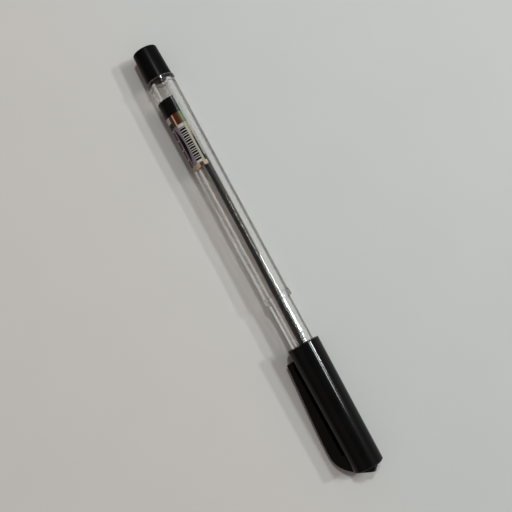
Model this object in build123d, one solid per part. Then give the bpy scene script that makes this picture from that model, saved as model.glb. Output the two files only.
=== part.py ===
from build123d import *
import math
import os

# Stick ballpoint pen with a clear barrel and a push-on cap, in millimetres.
# The origin is the centre of the flat tail face, +X runs along the pen to the writing tip and +Z is up.
# Radii grow from the ink outwards, so each piece is sized by what it holds and a clearance.

# Refill: ink, tube, turned point and ball
INK_R = 0.80
TUBE_WALL = 0.45
TUBE_TAIL_INSET = 19.4      # from the barrel's rim to the open tail of the tube
INK_TAIL_INSET = 8.0        # empty tube behind the ink
INK_FIT = 0.01
BALL_R = 0.50
BALL_FIT = 0.03
BALL_LIP = 0.15             # how far the socket closes past the ball's centre
LIP_WALL = 0.11
INK_CHANNEL_R = 0.25
POINT_WALL = 0.34           # point's body beyond the tube's bore
SHANK_LENGTH = 5.0
SHANK_FIT = 0.01
POINT_CONE_LENGTH = 3.4
POINT_NECK_SHOWN = 2.1      # straight part of the point in front of the nose

# Nose cone
NOSE_LENGTH = 14.5
NOSE_SPIGOT_LENGTH = 8.0
NOSE_SEAT_DEPTH = 5.5       # front wall that the tube's end stops against
NOSE_TIP_WALL = 0.40
NOSE_STEP = 0.40            # how far the cone stands inside the grip's outline
NOSE_FIT = 0.02
TUBE_FIT = 0.08
TUBE_SEAT_GAP = 0.05
POINT_FIT = 0.05
NOSE_TIP_CHAMFER = 0.20

# Barrel
TUBE_ROOM = 0.70            # free space round the tube in the grip
GRIP_WALL = 1.70
GRIP_LENGTH = 33.1
BORE_STEP = 0.20
BORE_DRAFT = 0.10
BODY_STEP = 0.51            # slender end of the body beyond the grip
BODY_DRAFT = 0.19
BODY_LENGTH = 78.3
RING_RISE = 0.32            # tail ring and collar beyond the body
RING_CHAMFER = 0.15
TAIL_RING_LENGTH = 1.2
COLLAR_LENGTH = 2.1
SHOULDER_CHAMFER = 0.25
GRIP_END_CHAMFER = 0.25

# Lie of the refill, whose free tail rests on the wall of the bore
LIE_GAP = 0.10
LIE_ANGLE = 40.0            # below the horizontal, on the +Y side
BEND_LEAD = 22.0            # start of the bend behind the collar
BEND_RUN = 34.0             # length in which the refill comes back to the axis
BEND_EASE = 8.0             # rounding of the bend's ends, along the refill

# End plug, a cup over the barrel's neck
PLUG_LENGTH = 10.6
PLUG_END_WALL = 1.5
PLUG_WALL = 0.75
PLUG_DRAFT = 0.30
PLUG_CHAMFER = 0.35
RIM_STEP = 0.37             # barrel's tail ring beyond the plug
PLUG_FIT = 0.02
NECK_END_GAP = 0.30

# Label
LABEL_INSET = 7.2           # from the barrel's rim
LABEL_LENGTH = 23.9
LABEL_THICKNESS = 0.08
LABEL_FIT = 0.01
LABEL_FROM = -15.0          # degrees from the top, positive towards the clip's side
LABEL_WRAP = 170.0

# Cap
GRIP_SHOWN = 14.9           # grip left in view behind the cap's mouth
CAP_WALL = 1.20
CAP_END_WALL = 1.30
CAP_DRAFT = 0.34            # outside only: the wall thins towards the closed end
CAP_FIT = 0.05
CAP_MOUTH_CHAMFER = 0.20
CAP_END_CHAMFER = 0.40
CAP_LEAD_IN = 0.30
RIB_COUNT = 6
RIB_WIDTH = 0.90
RIB_HEIGHT = 0.35
RIB_INSET = 1.2             # from the cap's mouth to the ribs
RIB_STOP_LENGTH = 2.0       # raised front end of each rib, which stops the barrel
STOP_GAP = 0.05
TIP_ROOM = 1.9              # from the ball to the cap's end wall

# Clip, a fin in a plane through the pen's axis
CLIP_ANGLE = 25.5           # below the horizontal, on the -Y side
CLIP_WIDTH = 2.4
CLIP_INSET = 3.6            # from the cap's mouth to the clip's free end
CLIP_FREE_RISE = 2.65       # outer edge above the cap at the free end and at the crest
CLIP_CREST_RISE = 4.62
CLIP_CREST_INSET = 7.3      # from the crest to the cap's closed end
CLIP_GAP = 0.90
CLIP_NIP_GAP = 0.35
CLIP_NIP_LENGTH = 1.2
CLIP_ROOT_INSET = 6.0       # from the slit's end to the cap's closed end
CLIP_OVERHANG = 2.0         # hook beyond the cap's closed end
HOOK_REACH = 2.1            # hook past the axis
HOOK_ROUND = 0.80
CLIP_RISE_START = (0.35, 0.30)  # handles of the outer edge's two curves, as shares of their runs
CLIP_RISE_END = 0.30
CLIP_FALL_START = 0.57
CLIP_FALL_END = (0.88, 0.46)
CLIP_CORNER_ROUND = 0.45
CLIP_EDGE_CHAMFER = 0.25
CLIP_EMBED = 0.60           # root inside the cap's wall

# Radii that follow
TUBE_R = INK_R + TUBE_WALL
POINT_R = INK_R + POINT_WALL
GRIP_BORE_R = TUBE_R + TUBE_ROOM
GRIP_R = GRIP_BORE_R + GRIP_WALL
BORE_FRONT_R = GRIP_BORE_R + BORE_STEP
BORE_TAIL_R = BORE_FRONT_R + BORE_DRAFT
BODY_FRONT_R = GRIP_R + BODY_STEP
BODY_TAIL_R = BODY_FRONT_R + BODY_DRAFT
COLLAR_R = BODY_FRONT_R + RING_RISE
TAIL_RING_R = BODY_TAIL_R + RING_RISE
PLUG_R = TAIL_RING_R - RIM_STEP
PLUG_TAIL_R = PLUG_R - PLUG_DRAFT
NECK_R = PLUG_R - PLUG_WALL
RIB_R = GRIP_R + CAP_FIT
CAVITY_R = RIB_R + RIB_HEIGHT
CAP_MOUTH_R = CAVITY_R + CAP_WALL
CAP_END_R = CAP_MOUTH_R - CAP_DRAFT
NOSE_R = GRIP_R - NOSE_STEP
NOSE_BORE_R = POINT_R + POINT_FIT
NOSE_TIP_R = NOSE_BORE_R + NOSE_TIP_WALL

# Places along the pen that follow
X_RIM = PLUG_LENGTH
X_TAIL_RING = X_RIM + TAIL_RING_LENGTH
X_SHOULDER = X_RIM + BODY_LENGTH
X_COLLAR = X_SHOULDER - COLLAR_LENGTH
X_BEND = X_COLLAR - BEND_LEAD
X_FRONT = X_SHOULDER + GRIP_LENGTH
X_NOSE = X_FRONT + NOSE_LENGTH
X_NOSE_SEAT = X_NOSE - NOSE_SEAT_DEPTH
X_TUBE_TAIL = X_RIM + TUBE_TAIL_INSET
X_TUBE_FRONT = X_NOSE_SEAT - TUBE_SEAT_GAP
X_SHANK = X_TUBE_FRONT - SHANK_LENGTH
X_INK_TAIL = X_TUBE_TAIL + INK_TAIL_INSET
X_POINT_CONE = X_NOSE + POINT_NECK_SHOWN
X_LIP = X_POINT_CONE + POINT_CONE_LENGTH
X_BALL = X_LIP - BALL_LIP
X_MOUTH = X_SHOULDER + GRIP_SHOWN
X_CAVITY_END = X_BALL + BALL_R + TIP_ROOM
X_CAP_END = X_CAVITY_END + CAP_END_WALL


def body_radius(x):
    """Outer radius of the tapered body at a place along the pen."""
    return BODY_TAIL_R - BODY_DRAFT * (x - X_RIM) / BODY_LENGTH


def cap_radius(x):
    """Outer radius of the tapered cap at a place along the pen."""
    return CAP_MOUTH_R - CAP_DRAFT * (x - X_MOUTH) / (X_CAP_END - X_MOUTH)


def run(start, end, slender):
    """Straight run of an outline. A slender taper is drawn as a curve, which keeps its facets few."""
    if not slender or start[0] == end[0] or start[1] == end[1]:
        return Line(start, end)
    middle = ((start[0] + end[0]) / 2, (start[1] + end[1]) / 2)
    return Bezier(start, middle, end)


def profile(points, slender=False):
    """Closed (x, radius) outline above the axis."""
    ends = points[1:] + points[:1]
    return make_face(Curve() + [run(a, b, slender) for a, b in zip(points, ends)])


def turned(points, slender=False):
    """Solid of revolution about the pen's axis."""
    return revolve(profile(points, slender), Axis.X)


def barrel():
    """Clear moulding: neck for the plug, tail ring, tapered body, collar and grip."""
    neck_end = PLUG_END_WALL + NECK_END_GAP
    outline = [
        (neck_end, BORE_TAIL_R),
        (neck_end, NECK_R),
        (X_RIM, NECK_R),
        (X_RIM, TAIL_RING_R - RING_CHAMFER),
        (X_RIM + RING_CHAMFER, TAIL_RING_R),
        (X_TAIL_RING - RING_CHAMFER, TAIL_RING_R),
        (X_TAIL_RING, TAIL_RING_R - RING_CHAMFER),
        (X_TAIL_RING, body_radius(X_TAIL_RING)),
        (X_COLLAR, body_radius(X_COLLAR)),
        (X_COLLAR, COLLAR_R - RING_CHAMFER),
        (X_COLLAR + RING_CHAMFER, COLLAR_R),
        (X_SHOULDER - SHOULDER_CHAMFER, COLLAR_R),
        (X_SHOULDER, COLLAR_R - SHOULDER_CHAMFER),
        (X_SHOULDER, GRIP_R),
        (X_FRONT - GRIP_END_CHAMFER, GRIP_R),
        (X_FRONT, GRIP_R - GRIP_END_CHAMFER),
        (X_FRONT, GRIP_BORE_R),
        (X_COLLAR, GRIP_BORE_R),
        (X_COLLAR, BORE_FRONT_R),
    ]
    return turned(outline, slender=True)


def end_plug():
    """Cup pressed over the barrel's neck, with a flat end."""
    outline = [
        (0, 0),
        (0, PLUG_TAIL_R - PLUG_CHAMFER),
        (PLUG_CHAMFER, PLUG_TAIL_R),
        (X_RIM, PLUG_R),
        (X_RIM, NECK_R + PLUG_FIT),
        (PLUG_END_WALL, NECK_R + PLUG_FIT),
        (PLUG_END_WALL, 0),
    ]
    return turned(outline, slender=True)


def label():
    """Thin sticker wrapped part of the way round the body."""
    start = X_RIM + LABEL_INSET
    end = start + LABEL_LENGTH
    outline = [
        (start, body_radius(start) + LABEL_FIT),
        (start, body_radius(start) + LABEL_FIT + LABEL_THICKNESS),
        (end, body_radius(end) + LABEL_FIT + LABEL_THICKNESS),
        (end, body_radius(end) + LABEL_FIT),
    ]
    return revolve(Rot(X=90 + LABEL_FROM) * profile(outline, slender=True), Axis.X, revolution_arc=LABEL_WRAP)


def along_refill(section, start, end):
    """Section swept along the refill's line: beside the bore's wall, then in an easy bend back to the axis."""
    lie = BORE_FRONT_R - TUBE_R - LIE_GAP
    turn = math.atan2(lie, BEND_RUN)
    line = FilletPolyline(
        (start, lie),
        (X_BEND, lie),
        (X_BEND + BEND_RUN, 0),
        (end, 0),
        radius=BEND_EASE / math.tan(turn / 2),
    )
    return Rot(X=-LIE_ANGLE) * sweep(Pos(start, lie, 0) * Rot(Y=90) * section, path=line)


def refill_tube():
    """Plain tube, open at the tail, whose front end stops in the nose."""
    return along_refill(Circle(TUBE_R) - Circle(INK_R), X_TUBE_TAIL, X_TUBE_FRONT)


def ink():
    """Column of paste ink up to the point's shank."""
    return along_refill(Circle(INK_R - INK_FIT), X_INK_TAIL, X_SHANK)


def writing_point():
    """Turned point: shank in the tube, body through the nose, cone and ball socket."""
    shank_r = INK_R - SHANK_FIT
    socket_r = BALL_R + BALL_FIT
    lip_r = (socket_r ** 2 - BALL_LIP ** 2) ** 0.5
    outline = [
        (X_SHANK, INK_CHANNEL_R),
        (X_SHANK, shank_r),
        (X_TUBE_FRONT, shank_r),
        (X_TUBE_FRONT, POINT_R),
        (X_POINT_CONE, POINT_R),
        (X_LIP, lip_r + LIP_WALL),
        (X_LIP, INK_CHANNEL_R),
    ]
    return turned(outline) - Pos(X_BALL, 0, 0) * Sphere(socket_r)


def ball():
    """Ball held loosely by the socket's lip."""
    return Pos(X_BALL, 0, 0) * Sphere(BALL_R)


def nose_cone():
    """Cone with a spigot in the grip's bore, bored for the tube and the point."""
    spigot_r = GRIP_BORE_R - NOSE_FIT
    tube_bore_r = TUBE_R + TUBE_FIT
    outline = [
        (X_FRONT - NOSE_SPIGOT_LENGTH, tube_bore_r),
        (X_FRONT - NOSE_SPIGOT_LENGTH, spigot_r),
        (X_FRONT, spigot_r),
        (X_FRONT, NOSE_R),
        (X_NOSE - NOSE_TIP_CHAMFER, NOSE_TIP_R),
        (X_NOSE, NOSE_TIP_R - NOSE_TIP_CHAMFER),
        (X_NOSE, NOSE_BORE_R),
        (X_NOSE_SEAT, NOSE_BORE_R),
        (X_NOSE_SEAT, tube_bore_r),
    ]
    return turned(outline)


def cap_shell():
    """Tapered cup with a flat closed end."""
    outline = [
        (X_MOUTH + CAP_LEAD_IN, CAVITY_R),
        (X_MOUTH, CAVITY_R + CAP_LEAD_IN),
        (X_MOUTH, CAP_MOUTH_R - CAP_MOUTH_CHAMFER),
        (X_MOUTH + CAP_MOUTH_CHAMFER, CAP_MOUTH_R),
        (X_CAP_END - CAP_END_CHAMFER, CAP_END_R),
        (X_CAP_END, CAP_END_R - CAP_END_CHAMFER),
        (X_CAP_END, 0),
        (X_CAVITY_END, 0),
        (X_CAVITY_END, CAVITY_R),
    ]
    return turned(outline)


def cap_ribs():
    """Ribs that hold the grip, each stepped in at the front to stop the barrel's end."""
    start = X_MOUTH + RIB_INSET
    stop = X_FRONT + STOP_GAP
    end = stop + RIB_STOP_LENGTH
    outer_r = CAVITY_R + CAP_WALL / 2
    outline = [
        (start, RIB_R),
        (start, outer_r),
        (end, outer_r),
        (end, NOSE_R + CAP_FIT),
        (stop, NOSE_R + CAP_FIT),
        (stop, RIB_R),
    ]
    ring = turned(outline)
    length = end - start
    slab = Pos(start + length / 2, 0, outer_r / 2) * Box(2 * length, RIB_WIDTH, outer_r)
    slabs = [Rot(X=360 * i / RIB_COUNT) * slab for i in range(RIB_COUNT)]
    return [ring & piece for piece in slabs]


def clip():
    """Fin clip: arm over a slit, rounded crest and a hook across the cap's closed end."""
    free_x = X_MOUTH + CLIP_INSET
    crest_x = X_CAP_END - CLIP_CREST_INSET
    root_x = X_CAP_END - CLIP_ROOT_INSET
    hook_x = X_CAP_END + CLIP_OVERHANG
    free_r = CAP_MOUTH_R + CLIP_FREE_RISE
    crest_r = CAP_MOUTH_R + CLIP_CREST_RISE
    arm = crest_x - free_x
    fall = crest_r + HOOK_REACH
    crest = (crest_x, crest_r)
    free_edge = (free_x, free_r)
    hook_side = (hook_x, HOOK_ROUND - HOOK_REACH)
    hook_end = (hook_x - HOOK_ROUND, -HOOK_REACH)

    # Outer edge: nearly straight rise to the crest, then a curve that steepens to the hook
    rise_along, rise_up = CLIP_RISE_START
    rise = Bezier(
        free_edge,
        (free_x + rise_along * arm, free_r + rise_up * (crest_r - free_r)),
        (crest_x - CLIP_RISE_END * arm, crest_r),
        crest,
    )
    fall_along, fall_down = CLIP_FALL_END
    fall_curve = Bezier(
        crest,
        (crest_x + CLIP_FALL_START * (hook_x - crest_x), crest_r),
        (crest_x + fall_along * (hook_x - crest_x), crest_r - fall_down * fall),
        hook_side,
    )
    hook = RadiusArc(hook_side, hook_end, -HOOK_ROUND)

    # Inner edge: inside the end wall and the side wall, along the slit and round the nip
    nip_end_x = free_x + CLIP_NIP_LENGTH
    ramp_x = nip_end_x + CLIP_GAP
    embed_x = X_CAP_END - CLIP_EMBED
    inner = Polyline(
        hook_end,
        (embed_x, -HOOK_REACH),
        (embed_x, cap_radius(embed_x) - CLIP_EMBED),
        (root_x, cap_radius(root_x) - CLIP_EMBED),
        (root_x, cap_radius(root_x) + CLIP_GAP),
        (ramp_x, cap_radius(ramp_x) + CLIP_GAP),
        (nip_end_x, cap_radius(nip_end_x) + CLIP_NIP_GAP),
        (free_x, cap_radius(free_x) + CLIP_NIP_GAP),
        free_edge,
    )
    face = make_face(Curve() + [rise, fall_curve, hook, inner])
    for corner in (free_edge, (free_x, cap_radius(free_x) + CLIP_NIP_GAP)):
        face = fillet(face.vertices().sort_by_distance(corner)[0], CLIP_CORNER_ROUND)
    fin = extrude(Pos(0, 0, -CLIP_WIDTH / 2) * face, CLIP_WIDTH)
    fin = chamfer(fin.edges().filter_by(GeomType.BSPLINE), CLIP_EDGE_CHAMFER)
    return Rot(X=180 + CLIP_ANGLE) * fin


def cap():
    """Shell, ribs and clip in one moulding."""
    return cap_shell() + cap_ribs() + clip()


PIECES = {
    "barrel": barrel,
    "end_plug": end_plug,
    "label": label,
    "refill_tube": refill_tube,
    "ink": ink,
    "writing_point": writing_point,
    "ball": ball,
    "nose_cone": nose_cone,
    "cap": cap,
}

os.makedirs("parts", exist_ok=True)
for name, make in PIECES.items():
    export_step(make(), f"parts/{name}.step")
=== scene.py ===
import math

import bmesh
import bpy
from mathutils import Matrix, Vector


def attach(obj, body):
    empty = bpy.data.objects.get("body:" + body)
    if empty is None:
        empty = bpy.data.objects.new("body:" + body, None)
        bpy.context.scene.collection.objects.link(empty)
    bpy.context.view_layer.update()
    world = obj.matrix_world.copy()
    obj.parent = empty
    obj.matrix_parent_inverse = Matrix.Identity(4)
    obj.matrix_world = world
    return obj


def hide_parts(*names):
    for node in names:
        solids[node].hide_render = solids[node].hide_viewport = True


# Capped stick ballpoint pen: the tail face is at the origin and +X runs to the writing tip.
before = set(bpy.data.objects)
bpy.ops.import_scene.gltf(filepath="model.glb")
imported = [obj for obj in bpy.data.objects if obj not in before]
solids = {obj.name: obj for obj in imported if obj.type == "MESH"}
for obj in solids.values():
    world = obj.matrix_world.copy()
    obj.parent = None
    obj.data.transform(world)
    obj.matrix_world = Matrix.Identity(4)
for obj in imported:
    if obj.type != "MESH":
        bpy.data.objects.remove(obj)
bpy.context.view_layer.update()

MM = 0.001

# Places along the pen from its tail face, in millimetres, as in the solids
PLUG_END_WALL = 1.5         # inner face of the plug's closed end
NECK_END_X = 1.8            # tail end of the barrel's neck, inside the plug
RIM_X = 10.6                # where the plug's rim meets the tail ring
TAIL_RING_X = 11.8          # front of the tail ring
COLLAR_X = 86.8             # back of the collar, and the step in the bore
SHOULDER_X = 88.9           # front of the collar, where the grip starts
FRONT_X = 122.0             # front of the barrel
TUBE_TAIL_X, TUBE_FRONT_X = 30.0, 130.95
INK_TAIL_X, INK_FRONT_X = 38.0, 125.95
CAP_MOUTH_X = 103.8

# Radii in millimetres, as in the solids
PLUG_TAIL_R, PLUG_R = 4.00, 4.30
NECK_R = 3.55
TAIL_RING_R = 4.67
BODY_TAIL_R, BODY_FRONT_R = 4.35, 4.16
COLLAR_R = 4.48
GRIP_R = 3.65
BORE_TAIL_R, BORE_FRONT_R, GRIP_BORE_R = 2.25, 2.15, 1.95
TUBE_R, TUBE_BORE_R = 1.25, 0.80
CAP_MOUTH_R = 5.25
PLUG_FIT = 0.02             # room between the neck and the plug's wall

# Line of the refill: beside the bore's wall, then in an easy bend back to the axis
LIE = 0.80                          # how far off the axis it lies, in millimetres
LIE_ANGLE = math.radians(40.0)      # on which side, turned from +Y towards -Z
BEND_X, BEND_RUN = 64.8, 34.0       # where it starts back to the axis, and over what length
BEND_EASE = 8.0                     # how far each corner of that line is rounded, to either side
REFILL_STEP = 2.0                   # length of the runs that a bent piece is divided into

# Rounded edges of the mouldings, in millimetres
RING_ROUND, RING_ROOT_ROUND = 0.32, 0.10
SHOULDER_ROUND, GRIP_ROOT_ROUND, GRIP_END_ROUND = 0.40, 0.12, 0.25
BORE_STEP_ROUND, NECK_ROUND, TUBE_END_ROUND = 0.10, 0.15, 0.12
PLUG_ROUND, PLUG_RIM_ROUND = 0.55, 0.06
ROUND_STEPS = 8
LATHE_SEGMENTS = 160
SHARP_ANGLE = math.radians(32)

# Ink against the tube's wall, which it wets
INK_GRIP = 0.01             # how far it reaches into the wall, so that no gap shows
INK_R = TUBE_BORE_R + INK_GRIP
MENISCUS_DEPTH = 0.7
GREYER_INK_END_X = 87.0     # the ink looks greyer behind this place

# Clear plastics
SCUFF_ROUGHNESS = 0.012
CLEAR_SPECULAR, CLEAR_COAT_ROUGHNESS, CLEAR_COAT_IOR = 0.03, 0.09, 1.5
LAMP_TINT = (1.0, 0.92, 0.88)       # colour of the lamps' light behind clear plastic
STEEP_SHADE = (0.05, 0.05, 0.05)    # what passes where the plastic is steep to that light

# Black plastics
BLACK_DEEP, BLACK_RUBBED = (0.0020, 0.0020, 0.0021), (0.0030, 0.0030, 0.0031)
DUST = (0.06, 0.06, 0.06)
BLACK_SPECULAR, BLACK_COAT_IOR = 0.04, 1.8
RUB_ROUGHNESS, DUST_ROUGHNESS = 0.05, 0.2
GRAIN_STRENGTH = 0.25

# Most of a noise's values are between these two
NOISE_LOW, NOISE_HIGH = 0.3, 0.7


def body_radius(x):
    """Outer radius of the tapered body at a place along the pen."""
    return BODY_TAIL_R + (BODY_FRONT_R - BODY_TAIL_R) * (x - RIM_X) / (SHOULDER_X - RIM_X)


def eased(distance):
    """Distance past a corner of the refill's line, with the corner rounded."""
    if abs(distance) < BEND_EASE:
        return (distance + BEND_EASE) ** 2 / (4 * BEND_EASE)
    return max(distance, 0.0)


def refill_centre(x):
    """Centre of the refill across the pen, in millimetres."""
    away = LIE - LIE / BEND_RUN * (eased(x - BEND_X) - eased(x - BEND_X - BEND_RUN))
    return away * math.cos(LIE_ANGLE), -away * math.sin(LIE_ANGLE)


def on_axis(x):
    """Centre of a piece that stands on the pen's axis."""
    return 0.0, 0.0


def outline(corners):
    """Points of a closed (x, radius) outline whose corners are (x, radius, round)."""
    points = []
    for i, (x, radius, cut) in enumerate(corners):
        here = Vector((x, radius))
        if not cut:
            points.append(here)
            continue
        before = Vector(corners[i - 1][:2])
        after = Vector(corners[(i + 1) % len(corners)][:2])
        start = here + (before - here).normalized() * cut
        end = here + (after - here).normalized() * cut
        for step in range(ROUND_STEPS + 1):
            u = step / ROUND_STEPS
            points.append(start * (1 - u) ** 2 + here * 2 * u * (1 - u) + end * u ** 2)
    return points


def divided(points, length):
    """The same outline with its long runs divided, so that it can follow a bend."""
    fine = []
    for here, after in zip(points, points[1:] + points[:1]):
        pieces = max(1, round(abs(after.x - here.x) / length))
        fine += [here.lerp(after, k / pieces) for k in range(pieces)]
    return fine


def lathe(name, points, centre=on_axis):
    """Smooth mesh of revolution along the pen from a closed outline in millimetres."""
    shape = bmesh.new()
    rows = []
    for i in range(LATHE_SEGMENTS):
        turn = math.tau * i / LATHE_SEGMENTS
        row = []
        for k, (x, radius) in enumerate(points):
            if radius == 0 and rows:
                row.append(rows[0][k])
            else:
                y, z = centre(x)
                place = (x, y + radius * math.cos(turn), z + radius * math.sin(turn))
                row.append(shape.verts.new(Vector(place) * MM))
        rows.append(row)
    for i, row in enumerate(rows):
        beside = rows[(i + 1) % LATHE_SEGMENTS]
        for k in range(len(points)):
            after = (k + 1) % len(points)
            ring = list(dict.fromkeys((row[k], row[after], beside[after], beside[k])))
            if len(ring) > 2:
                shape.faces.new(ring)
    bmesh.ops.recalc_face_normals(shape, faces=shape.faces)
    mesh = bpy.data.meshes.new(name)
    shape.to_mesh(mesh)
    shape.free()
    mesh.polygons.foreach_set("use_smooth", [True] * len(mesh.polygons))
    mesh.set_sharp_from_angle(angle=SHARP_ANGLE)
    return placed(name, mesh)


def placed(name, data):
    """New object in the scene that holds a mesh, a lamp or a camera."""
    holder = bpy.data.objects.new(name, data)
    bpy.context.scene.collection.objects.link(holder)
    return holder


def feed(socket, value):
    """Links a field to a socket, or sets a plain value on it."""
    if isinstance(value, Field):
        socket.id_data.links.new(value.socket, socket)
    else:
        socket.default_value = value


class Field:
    """Number or colour that varies over a surface, on which arithmetic can be done."""

    def __init__(self, socket):
        self.socket = socket

    def math(self, operation, *others):
        """One operation on this field and others."""
        node = self.socket.id_data.nodes.new("ShaderNodeMath")
        node.operation = operation
        for slot, value in zip(node.inputs, (self, *others)):
            feed(slot, value)
        return Field(node.outputs[0])

    def __add__(self, other):
        return self.math("ADD", other)

    def __sub__(self, other):
        return self.math("SUBTRACT", other)

    def __mul__(self, other):
        return self.math("MULTIPLY", other)

    def spread(self, low, high, to_low, to_high, smooth=False):
        """Stretches one range of numbers to another, held at its ends."""
        node = self.socket.id_data.nodes.new("ShaderNodeMapRange")
        if smooth:
            node.interpolation_type = "SMOOTHSTEP"
        for slot, value in zip(node.inputs, (self, low, high, to_low, to_high)):
            feed(slot, value)
        return Field(node.outputs[0])

    def rise(self, low, high, smooth=False):
        """0 up to the low value and 1 from the high value on."""
        return self.spread(low, high, 0.0, 1.0, smooth)

    def vary(self, least, most):
        """Stretches a noise to run between two values."""
        return self.spread(NOISE_LOW, NOISE_HIGH, least, most)

    def step(self, edge, soft):
        """0 below the edge and 1 above it, with a soft border."""
        return self.rise(edge - soft / 2, edge + soft / 2, smooth=True)

    def below(self, edge, soft):
        """1 below the edge and 0 above it, with a soft border."""
        return (self * -1).step(-edge, soft)

    def within(self, low, high, soft):
        """1 between the two edges and 0 elsewhere."""
        return self.step(low, soft) * self.below(high, soft)

    def mix(self, first, second):
        """The first colour where this field is 0 and the second where it is 1."""
        node = self.socket.id_data.nodes.new("ShaderNodeMix")
        node.data_type = "RGBA"
        feed(node.inputs["Factor"], self)
        for slot, colour in zip([s for s in node.inputs if s.type == "RGBA"], (first, second)):
            feed(slot, colour if isinstance(colour, Field) else (*colour, 1.0))
        return Field([s for s in node.outputs if s.type == "RGBA"][0])


class Finish:
    """A material under construction: one Principled shader and the nodes that feed it."""

    def __init__(self, name):
        self.material = bpy.data.materials.new(name)
        self.material.use_nodes = True
        self.tree = self.material.node_tree
        self.shader = self.tree.nodes["Principled BSDF"]
        self.place = Field(self.tree.nodes.new("ShaderNodeTexCoord").outputs["Object"])

    def axes(self):
        """Place on the pen as three fields, in millimetres."""
        node = self.tree.nodes.new("ShaderNodeSeparateXYZ")
        feed(node.inputs[0], self.place)
        return [Field(out) * (1 / MM) for out in node.outputs]

    def noise(self, grain, detail, stretch=(1.0, 1.0, 1.0), shift=0.0):
        """Noise with grains about that many millimetres across, drawn out by stretch along each axis."""
        spread = self.tree.nodes.new("ShaderNodeMapping")
        feed(spread.inputs["Vector"], self.place)
        spread.inputs["Location"].default_value = (shift, shift, shift)
        spread.inputs["Scale"].default_value = [1 / (grain * MM * k) for k in stretch]
        node = self.tree.nodes.new("ShaderNodeTexNoise")
        feed(node.inputs["Vector"], Field(spread.outputs[0]))
        node.inputs["Scale"].default_value = 1.0
        node.inputs["Detail"].default_value = detail
        return Field(node.outputs[0])

    def relief(self, height, depth, strength):
        """Bumps of that depth in millimetres."""
        node = self.tree.nodes.new("ShaderNodeBump")
        node.inputs["Strength"].default_value = strength
        node.inputs["Distance"].default_value = depth * MM
        feed(node.inputs["Height"], height)
        feed(self.shader.inputs["Normal"], Field(node.outputs[0]))

    def set(self, **values):
        """Sets the shader's sockets. A name's underscores stand for spaces."""
        for name, value in values.items():
            socket = self.shader.inputs[name.replace("_", " ")]
            if socket.type == "RGBA" and not isinstance(value, Field):
                value = (*value, 1.0)
            feed(socket, value)


def dress(piece, finish):
    """Gives a piece one material, on all its faces."""
    if not piece.data.materials:
        piece.data.materials.append(None)
    for slot in piece.material_slots:
        slot.link = "OBJECT"
        slot.material = finish.material


def clear_plastic(name, ior, tint, gloss, clearness):
    """Clear glossy moulding with hair-fine scuffs along the pen, which lets the lamps' light through."""
    finish = Finish(name)
    scuffs = finish.noise(grain=0.10, detail=2.0, stretch=(60.0, 1.0, 1.0)).rise(0.70, 0.80)
    worn = finish.noise(grain=6.0, detail=2.0).rise(0.50, 0.70)
    paler = [min(1.0, c * 1.01) for c in tint]
    finish.set(
        Base_Color=finish.noise(grain=9.0, detail=2.0).mix(tint, paler),
        Roughness=(scuffs * worn) * SCUFF_ROUGHNESS,
        IOR=ior,
        Specular_IOR_Level=CLEAR_SPECULAR,
        Transmission_Weight=1.0,
        Coat_Weight=gloss,
        Coat_Roughness=CLEAR_COAT_ROUGHNESS,
        Coat_IOR=CLEAR_COAT_IOR,
    )
    nodes = finish.tree.nodes
    steep = Field(nodes.new("ShaderNodeLayerWeight").outputs["Facing"]).rise(0.70, 0.95)
    passed = nodes.new("ShaderNodeBsdfTransparent")
    feed(passed.inputs["Color"], steep.mix([clearness * c for c in LAMP_TINT], STEEP_SHADE))
    either = nodes.new("ShaderNodeMixShader")
    feed(either.inputs[0], Field(nodes.new("ShaderNodeLightPath").outputs["Is Shadow Ray"]))
    feed(either.inputs[1], Field(finish.shader.outputs[0]))
    feed(either.inputs[2], Field(passed.outputs[0]))
    feed(nodes["Material Output"].inputs["Surface"], Field(either.outputs[0]))
    return finish


def black_plastic(name, roughness, coat, grain, depth):
    """Black moulding: fine moulded grain, patches rubbed smoother by hands, and a little dust."""
    finish = Finish(name)
    rubbed = finish.noise(grain=7.0, detail=3.0).rise(0.35, 0.65)
    dust = finish.noise(grain=0.16, detail=1.0, shift=7.0).rise(0.76, 0.82)
    shade = rubbed.mix(BLACK_DEEP, BLACK_RUBBED)
    finish.set(
        Base_Color=(dust * 0.4).mix(shade, DUST),
        Roughness=rubbed.spread(0.0, 1.0, roughness + RUB_ROUGHNESS, roughness) + dust * DUST_ROUGHNESS,
        Specular_IOR_Level=BLACK_SPECULAR,
        Coat_Weight=coat,
        Coat_IOR=BLACK_COAT_IOR,
        Coat_Roughness=roughness,
    )
    finish.relief(finish.noise(grain, detail=3.0), depth, GRAIN_STRENGTH)
    return finish


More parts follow.
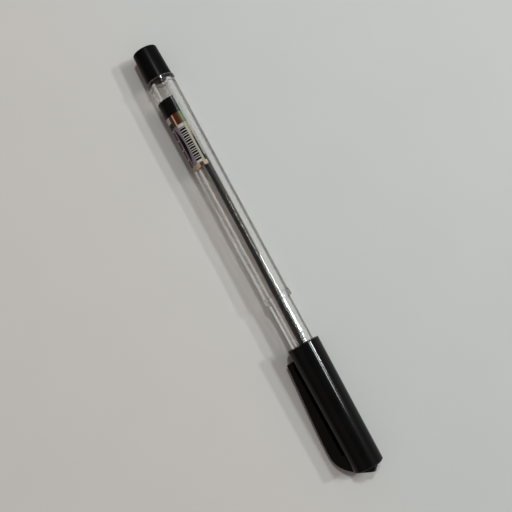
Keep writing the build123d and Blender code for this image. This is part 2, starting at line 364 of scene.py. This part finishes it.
def label_print():
    """Plain printed film: black end band, copper window, ladder panel and dark stripes, with painted
    highlight lines across the copper window and below the ladder panel.
    """
    finish = Finish("label_print")
    x, y, z = finish.axes()
    turn = (y * -1).math("ARCTAN2", z).math("DEGREES")
    edge = 0.12             # soft border of the print along the pen, in millimetres
    fine = 1.6              # and round it, in degrees

    cream = (0.31, 0.29, 0.23)
    paper = (0.46, 0.44, 0.40)
    bar_ink = (0.002, 0.002, 0.002)
    # lavender is a printed line and also a painted highlight line
    lavender_print_and_highlight = (0.20, 0.165, 0.20)
    navy = (0.004, 0.002, 0.008)
    green = (0.085, 0.125, 0.045)
    copper = (0.070, 0.018, 0.008)
    black = (0.0035, 0.0035, 0.0035)
    soot = (0.008, 0.008, 0.007)
    olive = (0.22, 0.22, 0.14)
    white = (0.46, 0.44, 0.44)
    tan = (0.40, 0.31, 0.23)
    umber = (0.075, 0.05, 0.03)
    # Painted highlight: peach line where a lamp's glint falls on the copper foil
    painted_foil_highlight = (0.58, 0.35, 0.23)

    # Places of the print along the pen, in millimetres
    band_end, window_split, window_end = 23.2, 25.2, 26.9
    ladder_start, ladder_end, pale_end = 28.0, 39.6, 40.3
    bow_middle, bow_rate = 33.5, 0.40

    # Places of the print, and of the painted highlight lines on it, round the pen, in degrees from the top
    # towards the clip's side
    strip_end, panel_highlight_start, navy_start, navy_end = -8.0, 28.0, 34.5, 51.0
    broken_start, broken_end, stripes_start = 62.0, 79.0, 92.0
    foil_highlight_start, foil_highlight_end, umber_start, split_start = 25.0, 31.0, 35.0, 48.0

    # Ladder of plain bars whose widths come from two waves
    wave = (x * 7.9).math("SINE") + (x * 12.6 + 1.0).math("SINE") * 0.5
    ladder = x.within(ladder_start, ladder_end, edge)
    bars = wave.step(-0.55, soft=0.12) * ladder * turn.within(1.0, 27.5, soft=3.0)
    ground = turn.step(3.0, soft=5.0).mix(cream, paper)
    colour = bars.mix(ground, bar_ink)

    # Strip along the edge on the far side from the clip
    strip = x.rise(30.0, 32.5).mix(olive, soot)
    colour = turn.step(strip_end, fine).mix(strip, colour)

    # Bowed navy band between a painted lavender highlight line and a printed lavender line, then a broken
    # dark line and thin stripes
    from_middle = x - bow_middle
    bow = (from_middle * from_middle) * bow_rate
    # Painted highlight: the first lavender line, where a lamp's glint runs along the label
    colour = turn.step(panel_highlight_start, fine).mix(colour, lavender_print_and_highlight)
    colour = (turn - bow).step(navy_start, fine).mix(colour, navy)
    colour = turn.step(navy_end, fine).mix(colour, lavender_print_and_highlight)
    gaps = (x * 1.9 - 0.6).math("SINE").step(0.90, soft=0.15)
    colour = turn.within(broken_start, broken_end, fine).mix(colour, gaps.mix(navy, white))
    stripes = (turn * 0.55).math("SINE").step(0.3, soft=0.3) * x.within(28.5, 39.5, edge)
    colour = turn.step(stripes_start, fine).mix(colour, stripes.mix(white, navy))

    # Pale end, copper window with a green corner and a painted peach highlight line across it, and black end
    # band
    colour = x.step(pale_end, edge).mix(colour, turn.within(3.0, 20.0, fine).mix(tan, umber))
    window = turn.step(-1.0, soft=6.0).mix(green, umber)
    window = turn.step(5.5, soft=5.0).mix(window, copper)
    # Painted highlight: a peach line across the copper window, standing in for a lamp's glint
    window = turn.within(foil_highlight_start, foil_highlight_end, fine).mix(window, painted_foil_highlight)
    window = turn.step(umber_start, fine).mix(window, umber)
    window = turn.step(split_start, fine).mix(window, x.step(window_split, edge).mix(white, black))
    colour = x.below(window_end, edge).mix(colour, window)
    colour = x.below(band_end, edge).mix(colour, black)

    worn = finish.noise(grain=0.5, detail=4.0).vary(0.90, 1.05)
    finish.set(
        Base_Color=worn.mix((0.0, 0.0, 0.0), colour),
        Roughness=finish.noise(grain=1.4, detail=2.0).vary(0.16, 0.30),
        Specular_IOR_Level=0.08,
    )
    ripples = finish.noise(grain=2.2, detail=3.0, stretch=(1.0, 2.0, 2.0), shift=3.0)
    finish.relief(ripples, depth=0.10, strength=0.5)
    return finish


def ink_finish():
    """Paste ink seen through the tube: black, with slight smears along the pen and greyer in the body."""
    finish = Finish("ink")
    x = finish.axes()[0]
    smear = finish.noise(grain=1.2, detail=3.0, stretch=(8.0, 1.0, 1.0))
    body = smear.mix((0.004, 0.004, 0.004), (0.012, 0.011, 0.011))
    grip = smear.mix((0.002, 0.002, 0.003), (0.005, 0.005, 0.006))
    finish.set(
        Base_Color=x.step(GREYER_INK_END_X, soft=1.5).mix(body, grip),
        Roughness=smear.vary(0.25, 0.45),
        Specular_IOR_Level=0.08,
    )
    return finish


def turned_metal(name, light, dark, pitch):
    """Metal turned on a lathe, with fine rings that follow the cutting tool."""
    finish = Finish(name)
    x = finish.axes()[0]
    wobble = finish.noise(grain=0.4, detail=2.0)
    rings = ((x * (1 / pitch) + wobble).math("SINE") + 1.0) * 0.5
    finish.set(
        Base_Color=(rings * 0.4 + wobble * 0.6).mix(dark, light),
        Metallic=1.0,
        Roughness=wobble.vary(0.16, 0.30),
    )
    finish.relief(rings, depth=0.004, strength=0.5)
    return finish


def stage_finish():
    """Pale matt table top, faintly mottled, with painted light: tinted warmer on the clip's side and cooler
    on the window's side, for the colours of the room's light.
    """
    finish = Finish("table_top")
    across = finish.axes()[1].rise(-28.0, 16.0, smooth=True)
    mottle = finish.noise(grain=22.0, detail=3.0)
    speck = finish.noise(grain=0.6, detail=2.0)
    grain = mottle * 0.7 + speck * 0.3
    # Painted light: a warm tint where the warm room light falls, and a cool tint under the window's light
    painted_warm_light = grain.mix((0.512, 0.490, 0.472), (0.545, 0.520, 0.502))
    painted_cool_light = grain.mix((0.478, 0.484, 0.476), (0.512, 0.516, 0.509))
    finish.set(
        Base_Color=across.mix(painted_warm_light, painted_cool_light),
        Roughness=speck.vary(0.50, 0.62),
        Specular_IOR_Level=0.3,
    )
    return finish


# Clear barrel with rounded edges
barrel = lathe("barrel_clear", outline([
    (NECK_END_X, BORE_TAIL_R, 0),
    (NECK_END_X, NECK_R, NECK_ROUND),
    (RIM_X, NECK_R, 0),
    (RIM_X, TAIL_RING_R, RING_ROUND),
    (TAIL_RING_X, TAIL_RING_R, RING_ROUND),
    (TAIL_RING_X, body_radius(TAIL_RING_X), RING_ROOT_ROUND),
    (COLLAR_X, body_radius(COLLAR_X), RING_ROOT_ROUND),
    (COLLAR_X, COLLAR_R, RING_ROUND),
    (SHOULDER_X, COLLAR_R, SHOULDER_ROUND),
    (SHOULDER_X, GRIP_R, GRIP_ROOT_ROUND),
    (FRONT_X, GRIP_R, GRIP_END_ROUND),
    (FRONT_X, GRIP_BORE_R, 0),
    (COLLAR_X, GRIP_BORE_R, BORE_STEP_ROUND),
    (COLLAR_X, BORE_FRONT_R, BORE_STEP_ROUND),
]))
dress(barrel, clear_plastic("clear_plastic", ior=1.57, tint=(0.89, 0.88, 0.87), gloss=0.12, clearness=0.33))
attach(barrel, "pen")
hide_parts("barrel")

# End plug with a rounded tail edge
plug = lathe("end_plug_rounded", outline([
    (0.0, 0.0, 0),
    (0.0, PLUG_TAIL_R, PLUG_ROUND),
    (RIM_X, PLUG_R, PLUG_RIM_ROUND),
    (RIM_X, NECK_R + PLUG_FIT, 0),
    (PLUG_END_WALL, NECK_R + PLUG_FIT, 0),
    (PLUG_END_WALL, 0.0, 0),
]))
dress(plug, black_plastic("black_plastic", roughness=0.28, coat=0.015, grain=0.22, depth=0.010))
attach(plug, "pen")
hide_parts("end_plug")

# Refill tube with rounded end edges
tube = lathe("refill_tube_clear", divided(outline([
    (TUBE_TAIL_X, TUBE_BORE_R, TUBE_END_ROUND),
    (TUBE_TAIL_X, TUBE_R, TUBE_END_ROUND),
    (TUBE_FRONT_X, TUBE_R, TUBE_END_ROUND),
    (TUBE_FRONT_X, TUBE_BORE_R, 0),
]), REFILL_STEP), refill_centre)
dress(tube, clear_plastic("tube_plastic", ior=1.45, tint=(0.90, 0.90, 0.90), gloss=0.06, clearness=0.35))
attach(tube, "pen")
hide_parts("refill_tube")

# Ink with a hollow tail end
meniscus = []
for k in range(ROUND_STEPS + 1):
    share = k / ROUND_STEPS
    meniscus.append(Vector((INK_TAIL_X + MENISCUS_DEPTH * (1 - share ** 2), INK_R * share)))
ink_front = [Vector((INK_FRONT_X, INK_R)), Vector((INK_FRONT_X, 0))]
ink = lathe("ink_column", divided(meniscus + ink_front, REFILL_STEP), refill_centre)
dress(ink, ink_finish())
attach(ink, "pen")
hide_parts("ink")

# The other solids keep their shapes
dress(solids["nose_cone"], black_plastic("nose_plastic", roughness=0.24, coat=0.05, grain=0.22, depth=0.008))
dress(solids["cap"], black_plastic("cap_plastic", roughness=0.10, coat=0.12, grain=0.35, depth=0.002))
dress(solids["label"], label_print())
POINT_LIGHT, POINT_DARK = (0.72, 0.70, 0.64), (0.50, 0.47, 0.40)
BALL_LIGHT, BALL_DARK = (0.56, 0.56, 0.58), (0.42, 0.42, 0.44)
dress(solids["writing_point"], turned_metal("point_metal", POINT_LIGHT, POINT_DARK, pitch=0.020))
dress(solids["ball"], turned_metal("ball_metal", BALL_LIGHT, BALL_DARK, pitch=0.050))

# Table top, tilted so that the pen lies on its tail ring and on the cap's mouth
TABLE_HALF = 900.0
TABLE_CORNERS = ((-1, -1), (1, -1), (1, 1), (-1, 1))
table_slope = (TAIL_RING_R - CAP_MOUTH_R) / (CAP_MOUTH_X - RIM_X)
table_points = []
for along, aside in TABLE_CORNERS:
    x = TABLE_HALF * along
    y = TABLE_HALF * aside
    table_points.append((x * MM, y * MM, (table_slope * (x - RIM_X) - TAIL_RING_R) * MM))
table = bpy.data.meshes.new("table_top")
table.from_pydata(table_points, [], [(0, 1, 2, 3)])
table_top = placed("table_top", table)
dress(table_top, stage_finish())

# Lamps of one colour, which face the middle of the pen, in metres and watts
WINDOW_LIGHT = (0.94, 1.0, 0.99)
LAMP_AIM = Vector((0.08, 0.0, 0.0))


def lamp(name, place, width, height, power):
    """Area lamp at a place."""
    light = bpy.data.lights.new(name, "AREA")
    light.shape = "RECTANGLE"
    light.size = width
    light.size_y = height
    light.energy = power
    light.color = WINDOW_LIGHT
    holder = placed(name, light)
    holder.location = place
    holder.rotation_euler = (LAMP_AIM - Vector(place)).to_track_quat("-Z", "Y").to_euler()


lamp("high_window", place=(-0.31, 0.27, 1.0), width=0.11, height=0.10, power=4.0)
lamp("near_window", place=(0.12, 0.88, 1.0), width=0.38, height=0.10, power=6.3)
lamp("far_window", place=(0.20, 1.26, 1.0), width=0.12, height=0.07, power=7.0)

# Surroundings: pale on the window's side, dim and warmer on the clip's side, and dark right overhead
WINDOW_WALL, WINDOW_CEILING = (0.40, 0.39, 0.38), (0.46, 0.43, 0.41)
CLIP_WALL, CLIP_CEILING = (0.18, 0.14, 0.125), (0.27, 0.215, 0.195)
OVERHEAD = (0.10, 0.10, 0.10)
CLIP_SIDE, WINDOW_SIDE = -0.35, 0.55        # between these one side turns into the other
CEILING_EDGE, OVERHEAD_EDGE = 0.45, 0.91    # heights where these parts begin, of 1 right overhead
world = bpy.data.worlds.new("room")
world.use_nodes = True
room = world.node_tree
background = room.nodes["Background"]
direction = room.nodes.new("ShaderNodeSeparateXYZ")
feed(direction.inputs[0], Field(room.nodes.new("ShaderNodeTexCoord").outputs["Generated"]))
side = Field(direction.outputs[1]).rise(CLIP_SIDE, WINDOW_SIDE, smooth=True)
height = Field(direction.outputs[2])
walls = side.mix(CLIP_WALL, WINDOW_WALL)
ceiling = side.mix(CLIP_CEILING, WINDOW_CEILING)
around = height.step(CEILING_EDGE, soft=0.30).mix(walls, ceiling)
feed(background.inputs["Color"], height.step(OVERHEAD_EDGE, soft=0.10).mix(around, OVERHEAD))
background.inputs["Strength"].default_value = 1.0
bpy.context.scene.world = world
bpy.context.scene.view_settings.view_transform = "Standard"

# Camera, from the photograph's perspective, with its place in millimetres
CAMERA_PLACE = (91.864, -1.406, 256.0)
CAMERA_RIGHT = (0.47527874, 0.87936935, -0.02862995)
CAMERA_UP = (-0.87690598, 0.4760986, 0.06607592)
CAMERA_LOOK = (-0.07173582, 0.00629871, -0.99740378)
FOCAL_PIXELS, FRAME_PIXELS, SENSOR_WIDTH = 834.19, 512, 36.0
NEAREST = 0.001
lens = bpy.data.cameras.new("camera")
lens.sensor_width = SENSOR_WIDTH
lens.lens = FOCAL_PIXELS / FRAME_PIXELS * SENSOR_WIDTH
lens.clip_start = NEAREST
camera = placed("camera", lens)
turned = Matrix((CAMERA_RIGHT, CAMERA_UP, -Vector(CAMERA_LOOK))).transposed().to_4x4()
camera.matrix_world = Matrix.Translation(Vector(CAMERA_PLACE) * MM) @ turned
bpy.context.scene.camera = camera
